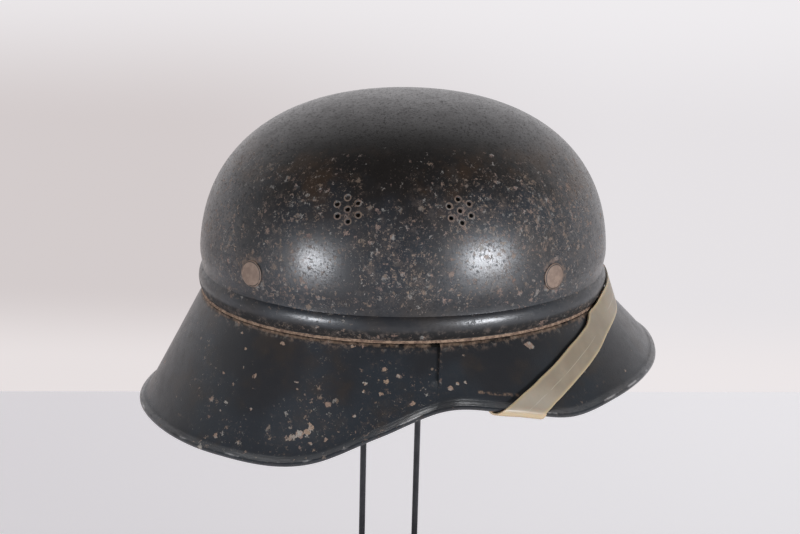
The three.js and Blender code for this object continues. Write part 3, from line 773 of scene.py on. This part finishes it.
class Finish:
    def __init__(self, name):
        self.material = bpy.data.materials.new(name)
        self.material.use_nodes = True
        self.nodes, self.links = self.material.node_tree.nodes, self.material.node_tree.links
        self.shader = self.nodes["Principled BSDF"]

    def plug(self, socket, value):
        if isinstance(value, Wire):
            self.links.new(value.socket, socket)
        elif isinstance(value, tuple) and len(value) == 3 and len(socket.default_value) == 4:
            socket.default_value = (*value, 1)
        else:
            socket.default_value = value

    # any node: its type, its settings, then the values or links of its sockets; out names the socket wanted
    def node(self, kind, settings=None, out=0, **inputs):
        made = self.nodes.new(kind)
        for key, value in (settings or {}).items():
            setattr(made, key, value)
        for key, value in inputs.items():
            self.plug(made.inputs[int(key[1:])] if key[0] == "_" else made.inputs[key], value)
        return Wire(self, made.outputs[out])

    def sum(self, operation, a, b, clamp=False):
        return self.node("ShaderNodeMath", {"operation": operation, "use_clamp": clamp}, _0=a, _1=b)

    def low(self, a, b):
        return self.sum("MINIMUM", a, b)

    def high(self, a, b):
        return self.sum("MAXIMUM", a, b)

    def ease(self, value, low, high, to=(0, 1)):
        return self.node("ShaderNodeMapRange", {"interpolation_type": "SMOOTHSTEP"},
                         _0=value, _1=low, _2=high, _3=to[0], _4=to[1])

    def mix(self, share, a, b):
        return self.node("ShaderNodeMix", {"data_type": "RGBA"}, 2, _0=share, _6=a, _7=b)

    def noise(self, where, scale, detail=2, rough=0.5, out=0):
        inputs = {"Vector": where, "Scale": scale, "Detail": detail, "Roughness": rough}
        return self.node("ShaderNodeTexNoise", None, out, **inputs)

    def cells(self, where, scale, out="Distance"):
        return self.node("ShaderNodeTexVoronoi", None, out, Vector=where, Scale=scale)

    def vector(self, operation, a, b=None, out=0, third=None):
        inputs = {"_0": a}
        if b is not None:
            inputs["_1"] = b
        if third is not None:
            inputs["_2"] = third
        return self.node("ShaderNodeVectorMath", {"operation": operation}, out, **inputs)

    def split(self, value, kind="XYZ"):
        made = self.nodes.new("ShaderNodeSeparate" + kind)
        self.plug(made.inputs[0], value)
        return [Wire(self, socket) for socket in made.outputs]

    def place(self):
        return self.node("ShaderNodeTexCoord", None, "Object")

    def value(self, name):
        return self.node("ShaderNodeAttribute", {"attribute_name": name}, "Fac")

    def bump(self, height, strength, distance):
        inputs = {"Strength": strength, "Distance": distance, "Height": height}
        return self.node("ShaderNodeBump", None, "Normal", **inputs)

    def finish(self, **sockets):
        for key, value in sockets.items():
            self.plug(self.shader.inputs[key.replace("_", " ")], value)
        return self.material


def dress(piece, material):
    piece.data.materials.clear()
    piece.data.materials.append(material)


paint = {
    "dark": (0.016, 0.0165, 0.0188),
    "blue": (0.0175, 0.0205, 0.0252),
    "brown": (0.026, 0.0205, 0.0172),
    # painted glint on the rolled edge, partly bare metal
    "glintAndBareMetal": (0.5, 0.49, 0.5),
    # dark brown: painted shade on the dome's top, and the colour the inside fades to in patches
    "topShadeAndInnerFade": (0.012, 0.0098, 0.0085),
    "burnt": (0.034, 0.021, 0.0135),
    "inner": (0.007, 0.0066, 0.0062),
    "tan": (0.27, 0.195, 0.14),
    "pink": (0.2, 0.135, 0.115),
    "pale": (0.26, 0.245, 0.225),
    "rust": (0.13, 0.08, 0.052),
    "haze": (0.075, 0.06, 0.052),
    "lipRust": (0.15, 0.095, 0.068),
    "lipTan": (0.33, 0.225, 0.155),
    # painted shade under the bead
    "underBeadShade": (0.008, 0.0075, 0.0075),
}


def ventDistance(f, where):
    # distance to the edge of the nearest vent hole, on both sides of the shell
    x, y, z = f.split(where)
    mirrored = f.node("ShaderNodeCombineXYZ", None, 0, X=x, Y=f.sum("ABSOLUTE", y, 0), Z=z)
    nearest = None
    for turn, twist in crown["vents"]:
        at, normal, up = onCrown(turn, crown["ventLevel"], 1)
        across = normal.cross(up)
        away = f.vector("SUBTRACT", mirrored, tuple(at))
        a = f.vector("DOT_PRODUCT", away, tuple(up), out="Value")
        b = f.vector("DOT_PRODUCT", away, tuple(across), out="Value")
        r = (a * a + b * b) ** 0.5
        angle = f.sum("ARCTAN2", b, a) + math.radians(-twist + 30 + 360)
        wedge = f.sum("MODULO", angle, math.radians(60)) - math.radians(30)
        ring = crown["ventRing"]
        cosine = f.node("ShaderNodeMath", {"operation": "COSINE"}, _0=wedge)
        outer = (r * r + ring * ring - r * cosine * (2 * ring)) ** 0.5
        d = f.low(r, outer)
        nearest = d if nearest is None else f.low(nearest, d)
    return nearest - crown["ventRadius"]


def pinDistance(f, where):
    x, y, z = f.split(where)
    mirrored = f.node("ShaderNodeCombineXYZ", None, 0, X=x, Y=f.sum("ABSOLUTE", y, 0), Z=z)
    nearest = None
    for turn in crown["pinTurns"].values():
        at, normal, up = onCrown(turn, crown["pinLevel"], 1)
        d = f.vector("DISTANCE", mirrored, tuple(at), out="Value")
        nearest = d if nearest is None else f.low(nearest, d)
    return nearest


def shellPaint(name, density, special, gloss, coat):
    f = Finish(name)
    where = f.place()
    x, _, z = f.split(where)
    x = x - shell["centre"].x
    level = z - shell["centre"].z
    jitter = f.noise(where, 700, 3, 0.7, "Color")
    jitter = f.vector("SUBTRACT", jitter, (0.5, 0.5, 0.5))
    ragged = f.vector("MULTIPLY_ADD", jitter, (0.006, 0.006, 0.006), third=where)
    broad = f.noise(where, 22, 3)
    patch = f.noise(where, 60, 3)
    crowd = density(f, level, broad)

    def flecks(scale, rate, size):
        r, g, b = f.split(f.cells(ragged, scale, "Color"), "Color")
        d = f.cells(ragged, scale)
        chance = f.ease(r - (1 - rate * crowd), 0, 0.12)
        grown = chance * (g * 0.7 + 0.3) * size
        return f.ease(grown - d, -0.06, 0.07) * (b * 0.6 + 0.45), b

    big, bigTone = flecks(240, 0.5, 0.42)
    small, smallTone = flecks(430, 0.52, 0.46)
    fine, _ = flecks(900, 0.42, 0.5)
    flaked = f.ease(f.noise(where, 420, 5, 0.68) + crowd * 0.085, 0.665, 0.71) * f.ease(crowd, 0.1, 0.4)
    chips = f.high(f.high(big, small * 0.8), f.high(fine * 0.5, flaked * 0.75))
    extra, bare, paintedGlint = special(f, where, ragged, x, level)
    chips = f.high(chips, extra)

    tone = f.mix(bigTone, paint["tan"], paint["pink"])
    tone = f.mix(f.ease(smallTone, 0.66, 0.86), tone, paint["pale"])
    tone = f.mix(f.ease(patch, 0.5, 0.68) * 0.5, tone, paint["rust"])
    tone = f.mix(f.ease(f.noise(where, 1500, 2), 0.3, 0.7) * 0.5, tone, paint["haze"])
    under = f.mix(f.ease(broad, 0.4, 0.6), paint["dark"], paint["blue"])
    under = f.mix(f.ease(f.noise(where, 35, 4, 0.65), 0.48, 0.7) * 0.6, under, paint["brown"])
    # the dome's top painted darker: painted shade standing in for the dark room's reflection
    under = f.mix(f.ease(level + (patch - 0.5) * 0.05, 0.058, 0.084) * 0.9, under, paint["topShadeAndInnerFade"])
    cloud = f.ease(f.noise(where, 160, 5, 0.7) + crowd * 0.06, 0.55, 0.75) * 0.6 * crowd
    under = f.mix(cloud, under, paint["haze"])
    burnt = f.ease(level, 0.056, 0.072) * f.ease(level, 0.1, 0.086)
    burnt = burnt * f.ease(f.noise(where, 26, 5, 0.65), 0.47, 0.62)
    under = f.mix(burnt * 0.85, under, paint["burnt"])
    # painted shade on the bead's lower half, the lip and the skirt's top, with patches of dust haze
    underBeadShadeAndDust = f.ease(level, 0.0004, -0.0026) * f.ease(level, -0.0125, -0.0095)
    dirt = f.ease(f.noise(where, 200, 4, 0.65), 0.48, 0.7) * 0.8
    under = f.mix(underBeadShadeAndDust, under, f.mix(dirt, paint["underBeadShade"], paint["haze"]))
    colour = f.mix(f.sum("ADD", chips, 0, clamp=True), under, tone)
    rust = f.ease(f.noise(where, 500, 3), 0.35, 0.65)
    colour = f.mix(bare, colour, f.mix(rust, paint["lipRust"], paint["lipTan"]))
    # painted glint: bare metal on the roll's crest, lightened in stretches to stand in for the lamps' glints
    colour = f.mix(paintedGlint, colour, paint["glintAndBareMetal"])
    inside, rolled = f.value("inside"), f.value("edge")
    faded = f.ease(f.noise(where, 90, 5, 0.7), 0.5, 0.72)
    colour = f.mix(inside, colour, f.mix(faded, paint["inner"], paint["topShadeAndInnerFade"]))

    stretched = f.node("ShaderNodeMapping", None, 0, Vector=where, Scale=(300, 300, 2400))
    scratch = f.noise(stretched, 1, 2, 0.6)
    smear = f.noise(where, 140, 4, 0.65)
    worn = f.sum("ADD", f.high(chips, bare), 0, clamp=True)
    rough = underBeadShadeAndDust * 0.25 + gloss + f.ease(smear, 0.35, 0.75) * 0.1 + f.ease(scratch, 0.45, 0.7) * 0.05
    rough = rough + worn * 0.2 + inside * 0.4
    grain = f.ease(f.noise(where, 620, 3, 0.65), 0.39, 0.45)
    grain = grain * (f.ease(f.noise(where, 90, 4, 0.7), 0.3, 0.6) * 0.35 + 0.65)
    pits = f.ease(f.cells(where, 1300), 0.0, 0.4)
    height = pits * 0.2 + f.noise(where, 900, 3, 0.6) * 0.5 - chips * 0.7 + scratch * 0.1
    glaze = (1 - f.high(f.high(worn, inside), underBeadShadeAndDust * 0.9)) * (grain * 0.95 + 0.05) * (rolled * 0.6 + coat)
    return f.finish(
        Base_Color=colour, Roughness=rough, Metallic=worn * 0.1 + paintedGlint * 0.6, IOR=1.5,
        Specular_IOR_Level=0.3, Normal=f.bump(height, 0.35, 0.0004),
        Coat_Weight=glaze, Coat_Roughness=0.25, Coat_IOR=1.5,
    )


def crownDensity(f, level, broad):
    top = f.ease(level, 0.106, 0.062)
    foot = f.ease(level, -0.001, 0.02) * 0.75 + f.ease(level, -0.001, -0.004) * 0.5
    return top * (foot + 0.25) * (f.ease(broad, 0.3, 0.62) * 0.7 + 0.45)


def crownSpecial(f, where, ragged, x, level):
    edge = f.value("edge")
    vent = ventDistance(f, where)
    rings = f.ease(vent, 0.0011, 0.0007) * f.ease(vent, 0.00005, 0.00025)
    rings = rings * f.ease(f.noise(where, 260, 2), 0.22, 0.42)
    pins = f.ease(pinDistance(f, ragged), 0.0118, 0.0092) * f.ease(f.noise(where, 200, 3), 0.47, 0.6)
    lip = f.ease(edge + f.noise(where, 330, 3) * 0.4, 0.28, 0.5)
    return f.high(rings * 0.7, pins * 0.6), lip * 0.9, lip * 0


def neckDensity(f, level, broad):
    return f.ease(broad, 0.35, 0.65) * 0.3 + 0.08


def visorDensity(f, level, broad):
    return f.ease(broad, 0.4, 0.65) * 0.14 + 0.05


def skirtSpecial(f, where, ragged, x, level):
    edge = f.value("edge")
    crease = f.value("crease")
    worn = f.ease(edge * 0.3 + f.noise(where, 420, 3, 0.6) * 0.75, 0.78, 0.86) * 0.6
    front = f.ease(x, 0.01, 0.022) * f.ease(x, 0.08, 0.06)
    line = f.ease(crease, 0.6, 1) * f.ease(f.noise(where, 260, 4, 0.65) + front * 0.12, 0.56, 0.72)
    line = line * (front * 0.35 + 0.15)
    spots = f.ease((f.noise(where, 520, 4, 0.65) - 0.5) * 0.0042 - f.value("chip"), -0.0001, 0.0002)
    lean = math.radians(skirt["seamLean"]) * shell["neckLong"] / (rimAt(skirt["lapTurn"])[1] + skirt["top"])
    seam = f.ease(f.sum("ABSOLUTE", x - (level - skirt["top"]) * lean - 0.0006, 0), 0.0014, 0.0005)
    seam = seam * f.ease(f.noise(where, 420, 3), 0.5, 0.64) * f.ease(level, -0.036, -0.03) * 0.4
    bleed = f.ease(level, -0.0155, -0.0098) * f.ease(f.noise(where, 260, 4, 0.65), 0.5, 0.66) * 0.5
    underLip = f.ease(level, -0.0114, -0.0102) * f.ease(f.noise(where, 240, 3), 0.34, 0.5) * 0.3
    # painted glint along the roll's crest, in stretches, partly worn bare metal
    paintedGlint = f.value("crest") * f.ease(f.noise(where, 38, 4, 0.6), 0.54, 0.64) * 0.6
    return f.high(f.high(worn, seam), f.high(spots, bleed)), f.high(line, underLip), paintedGlint


print("finishes")
dress(crownPiece, shellPaint("shellPaintCrown", crownDensity, crownSpecial, 0.37, 0.7))
dress(visorPiece, shellPaint("shellPaintVisor", visorDensity, skirtSpecial, 0.3, 0.3))
dress(neckPiece, shellPaint("shellPaintNeck", neckDensity, skirtSpecial, 0.3, 0.3))


rustySteel = {
    "dark": (0.165, 0.112, 0.085),
    "light": (0.24, 0.17, 0.128),
    "speck": (0.13, 0.085, 0.065),
    # the dark of the crack, also used for the painted shadow round the head's foot
    "crack": (0.018, 0.014, 0.013),
}


def pinFinish():
    f = Finish("wornPinSteel")
    where = f.place()
    round_ = f.value("round") / pin["head"]
    patch = f.noise(where, 260, 4, 0.65)
    fine = f.noise(where, 1400, 3)
    colour = f.mix(f.ease(patch, 0.35, 0.68), rustySteel["dark"], rustySteel["light"])
    colour = f.mix(f.ease(fine, 0.45, 0.8) * 0.4, colour, rustySteel["speck"])
    crack = f.ease(round_, 0.84, 0.88) * f.ease(round_, 0.95, 0.91)
    crack = crack * f.ease(f.noise(where, 110, 2), 0.38, 0.46)
    # rim: painted shadow round the head's foot, in broken arcs
    rim = f.ease(round_, 0.95, 0.99) * f.ease(f.noise(where, 160, 2), 0.4, 0.55)
    colour = f.mix(f.high(crack, rim) * 0.95, colour, rustySteel["crack"])
    return f.finish(Base_Color=colour, Roughness=patch * 0.2 + 0.5, Metallic=0.1,
                    Normal=f.bump(fine * 0.6 + patch * 0.4, 0.3, 0.0003))


leather = {
    "dark": (0.202, 0.16, 0.11),
    "light": (0.247, 0.2, 0.141),
    "stain": (0.2, 0.165, 0.12),
    "sheen": (0.42, 0.38, 0.32),
    "edge": (0.36, 0.28, 0.165),
    "under": (0.46, 0.35, 0.22),
    "ends": (0.035, 0.026, 0.018),
    "line": (0.5, 0.46, 0.38),
}


def strapFinish():
    f = Finish("strapLeather")
    where = f.place()
    along, across, under = f.value("along"), f.value("across"), f.value("under")
    grain = f.noise(where, 1800, 3, 0.6)
    cloud = f.noise(where, 60, 3)
    middle = 1 - f.ease(f.sum("ABSOLUTE", across - 0.5, 0), 0.36, 0.48)
    colour = f.mix(f.ease(cloud, 0.35, 0.7), leather["dark"], leather["light"])
    colour = f.mix(f.ease(f.noise(where, 260, 4, 0.65), 0.5, 0.72) * 0.5, colour, leather["stain"])
    colour = f.mix(f.value("sheen") * middle * 0.3, colour, leather["sheen"])
    colour = f.mix(1 - middle, colour, leather["edge"])
    colour = f.mix(under, colour, leather["under"])
    colour = f.mix(f.value("ends"), colour, leather["ends"])
    line = f.ease(f.sum("ABSOLUTE", across - 0.55, 0), 0.012, 0.004)
    line = line * f.ease(f.noise(where, 90, 2), 0.4, 0.55)
    colour = f.mix(line * 0.5, colour, leather["line"])
    return f.finish(
        Base_Color=colour, Roughness=grain * 0.16 + 0.38,
        Normal=f.bump(grain * 0.5 + cloud * 0.8, 0.2, 0.0004), Coat_Weight=0.25, Coat_Roughness=0.3,
        Subsurface_Weight=0.08, Subsurface_Scale=0.002,
    )


def metalFinish(name, dark, light, rough, metal):
    f = Finish(name)
    where = f.place()
    patch = f.noise(where, 90, 4, 0.6)
    fine = f.noise(f.node("ShaderNodeMapping", None, 0, Vector=where, Scale=(900, 900, 120)), 1, 3)
    colour = f.mix(f.ease(patch, 0.3, 0.7), dark, light)
    colour = f.mix(f.ease(fine, 0.55, 0.8) * 0.4, colour, light)
    relief = f.bump(fine * 0.5 + patch * 0.5, 0.2, 0.0003)
    return f.finish(Base_Color=colour, Roughness=patch * 0.15 + rough, Metallic=metal, Normal=relief)


pinMaterial = pinFinish()
for piece in pinPieces.values():
    dress(piece, pinMaterial)
dress(strapPiece, strapFinish())
postMaterial = metalFinish("postSteel", (0.07, 0.065, 0.06), (0.22, 0.2, 0.18), 0.35, 0.7)
for piece in postPieces.values():
    dress(piece, postMaterial)
rodMaterial = metalFinish("rodSteel", (0.075, 0.078, 0.088), (0.12, 0.124, 0.138), 0.42, 0.2)
for piece in rodPieces.values():
    dress(piece, rodMaterial)
padMaterial = metalFinish("padRubber", (0.012, 0.012, 0.013), (0.03, 0.03, 0.032), 0.6, 0)
plateMaterial = metalFinish("plateSteel", (0.05, 0.053, 0.06), (0.085, 0.09, 0.1), 0.4, 0.5)
dress(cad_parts["stand_pad"], padMaterial)
dress(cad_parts["stand_plate"], plateMaterial)


# Room: a pale table, a pale background and soft lamps, with dark cards on the camera's side.
room = {
    "distance": 0.961,
    "elevation": 17.74,
    "yaw": 11.58,
    "roll": 1.45,
    "lens": 67.94,
    "sensor": 36,
    "aside": 0.00243,
    "above": 0.00197,
    "tableBack": 0.3616,
    "tableSkew": 0.19,
    "backdrop": 1.6,  # how far the pale sheet stands behind the object
    "dark": (0.012, 0.012, 0.013),
    "darkRadius": 4.5,
    "darkRise": 35,
    "darkCut": 0.05,
    "darkSoft": 0.6,
    "sky": (0.775, 0.745, 0.745, 1),
    # each lamp's reflection stands at a turn and level of the crown; then its width, height and watts
    "lamps": {"lampLeft": (124, 0.037, 0.26, 0.22, 8.2), "lampRight": (77.8, 0.0395, 0.36, 0.24, 12.5)},
    "lampAway": 1.1,
    "lampColour": (0.925, 0.95, 1),
    "softPower": 11,
    "rimLamps": {"lampRimLeft": -124, "lampRimRight": -82},
    "rimAway": 1.3,
    "rimTilt": 55,
    "rimSize": 0.3,
    "rimPower": 3.5,
}


def viewAxes():
    yaw, rise = math.radians(room["yaw"]), math.radians(room["elevation"])
    back = Vector((-math.sin(yaw) * math.cos(rise), -math.cos(yaw) * math.cos(rise), math.sin(rise)))
    right = Vector((math.cos(yaw), -math.sin(yaw), 0))
    return right, back.cross(right), back


def makeCamera():
    right, up, back = viewAxes()
    at = shell["centre"] + back * room["distance"] - right * room["aside"] + up * room["above"]
    roll = math.radians(room["roll"])
    x = right * math.cos(roll) + up * math.sin(roll)
    y = up * math.cos(roll) - right * math.sin(roll)
    data = bpy.data.cameras.new("view")
    data.lens, data.sensor_width = room["lens"], room["sensor"]
    data.clip_start = 0.01
    camera = bpy.data.objects.new("view", data)
    camera.matrix_world = Matrix.Translation(at) @ Matrix((x, y, back)).transposed().to_4x4()
    bpy.context.scene.collection.objects.link(camera)
    bpy.context.scene.camera = camera
    return at


def makeLamp(name, at, aim, width, height, power, colour=(1, 1, 1)):
    data = bpy.data.lights.new(name, "AREA")
    data.shape, data.size, data.size_y = "RECTANGLE", width, height
    data.energy, data.color = power, colour
    lamp = bpy.data.objects.new(name, data)
    lamp.matrix_world = alignedTo((at - aim).normalized(), at)
    bpy.context.scene.collection.objects.link(lamp)
    return lamp


def flatSheet(name, corners):
    deselectAll()
    bpy.ops.mesh.primitive_plane_add(size=2)
    piece = bpy.context.object
    piece.name = name
    for vertex, corner in zip(piece.data.vertices, corners):
        vertex.co = corner
    return piece


eye = makeCamera()
right, up, back = viewAxes()
flatRight = Vector((right.x, right.y, 0))
flatBack = Vector((back.x, back.y, 0)).normalized()
centre = Vector((shell["centre"].x, 0, 0))
rear = centre - flatBack * room["tableBack"]
skew = flatBack * room["tableSkew"]
near = centre + flatBack * 3
wide = flatRight * 3
# vertices of a plane go left near, right near, left far, right far
table = flatSheet("table", [near - wide, near + wide, rear - wide + skew, rear + wide - skew])


# The table and the sheet behind it glow with painted light, a little lighter on the right.
# The sheet's painted light is also lighter towards its top and foot.
def graded(sheet, base, left, right, rises=(), rough=0.6):
    f = Finish(sheet.name + "Graded")
    where = f.place()
    along = f.vector("DOT_PRODUCT", where, tuple(flatRight), out="Value")
    level = f.split(where)[2]
    colour = f.mix(f.ease(along, -0.42, 0.42), left, right)
    for low, high, share, light in rises:
        colour = f.mix(f.ease(level, low, high) * share, colour, light)
    f.shader.inputs["Specular IOR Level"].default_value = 0.2
    dress(sheet, f.finish(Base_Color=base, Roughness=rough, Emission_Color=colour, Emission_Strength=1))


graded(table, (0.76, 0.75, 0.76), (0.4, 0.385, 0.405), (0.515, 0.51, 0.53))
far = centre - flatBack * room["backdrop"]
wide, tall = flatRight * 4, Vector((0, 0, 3))
backdrop = flatSheet("backdrop", [far - wide - tall, far + wide - tall, far - wide + tall, far + wide + tall])
graded(backdrop, (0, 0, 0), (0.65, 0.6, 0.6), (0.785, 0.76, 0.78),
       [(-0.04, 0.22, 0.8, (0.88, 0.86, 0.88)), (-0.32, -0.47, 0.7, (0.86, 0.81, 0.81))], 1)


# the dark half of the room: a shell of cards on the camera's side that the camera doesn't see
def makeDarkRoom():
    deselectAll()
    bpy.ops.mesh.primitive_uv_sphere_add(segments=48, ring_count=24, radius=room["darkRadius"])
    piece = bpy.context.object
    piece.name = "darkRoom"
    rise = math.radians(room["darkRise"])
    axis = flatBack * math.cos(rise) + Vector((0, 0, math.sin(rise)))
    bpy.ops.object.mode_set(mode="EDIT")
    bpy.ops.mesh.bisect(plane_co=axis * room["darkRadius"] * room["darkCut"], plane_no=axis, clear_inner=True)
    bpy.ops.object.mode_set(mode="OBJECT")
    f = Finish("darkRoomFinish")
    depth = f.vector("DOT_PRODUCT", f.place(), tuple(axis), out="Value") / room["darkRadius"]
    glow = f.ease(depth, room["darkSoft"], room["darkCut"]) * 0.5
    grey = f.node("ShaderNodeCombineColor", None, 0, Red=glow, Green=glow, Blue=glow)
    dress(piece, f.finish(Base_Color=room["dark"], Roughness=1, Emission_Strength=1, Emission_Color=grey))
    piece.visible_camera = False


makeDarkRoom()

# where a lamp has to stand for its light to be seen at a place on the crown's side
def mirrored(at, normal, distance):
    look = (eye - at).normalized()
    return at + (2 * normal.dot(look) * normal - look) * distance


def lightOnly(lamp, pieces):
    group = bpy.data.collections.new(lamp.name + "Receivers")
    for piece in pieces:
        group.objects.link(piece)
    lamp.light_linking.receiver_collection = group


upperPieces = [crownPiece, strapPiece, *pinPieces.values()]
lowerPieces = [visorPiece, neckPiece]
for key, (turn, level, width, height, power) in room["lamps"].items():
    at, normal, _ = onCrown(turn, level, -1)
    place = mirrored(at, normal, room["lampAway"])
    lamp = makeLamp(key, place, shell["centre"], width, height, power, room["lampColour"])
    lightOnly(lamp, upperPieces)
    soft = makeLamp(key + "Soft", place, shell["centre"], width, height, room["softPower"])
    soft.visible_glossy = False
    lightOnly(soft, lowerPieces)
rimTilt = math.radians(room["rimTilt"])
for key, turn in room["rimLamps"].items():
    reach, drop = rimAt(turn)
    at = besideNeck(turn, 1, reach, -drop)
    outward = (besideNeck(turn, 1, 0.01, 0) - besideNeck(turn, 1, 0, 0)).normalized()
    normal = outward * math.cos(rimTilt) + Vector((0, 0, math.sin(rimTilt)))
    place = mirrored(at, normal, room["rimAway"])
    lightOnly(makeLamp(key, place, at, room["rimSize"], room["rimSize"], room["rimPower"]), lowerPieces)

world = bpy.data.worlds.new("backdrop")
world.use_nodes = True
world.node_tree.nodes["Background"].inputs["Color"].default_value = room["sky"]
world.node_tree.nodes["Background"].inputs["Strength"].default_value = 1
bpy.context.scene.world = world
bpy.context.scene.view_settings.view_transform = "Standard"
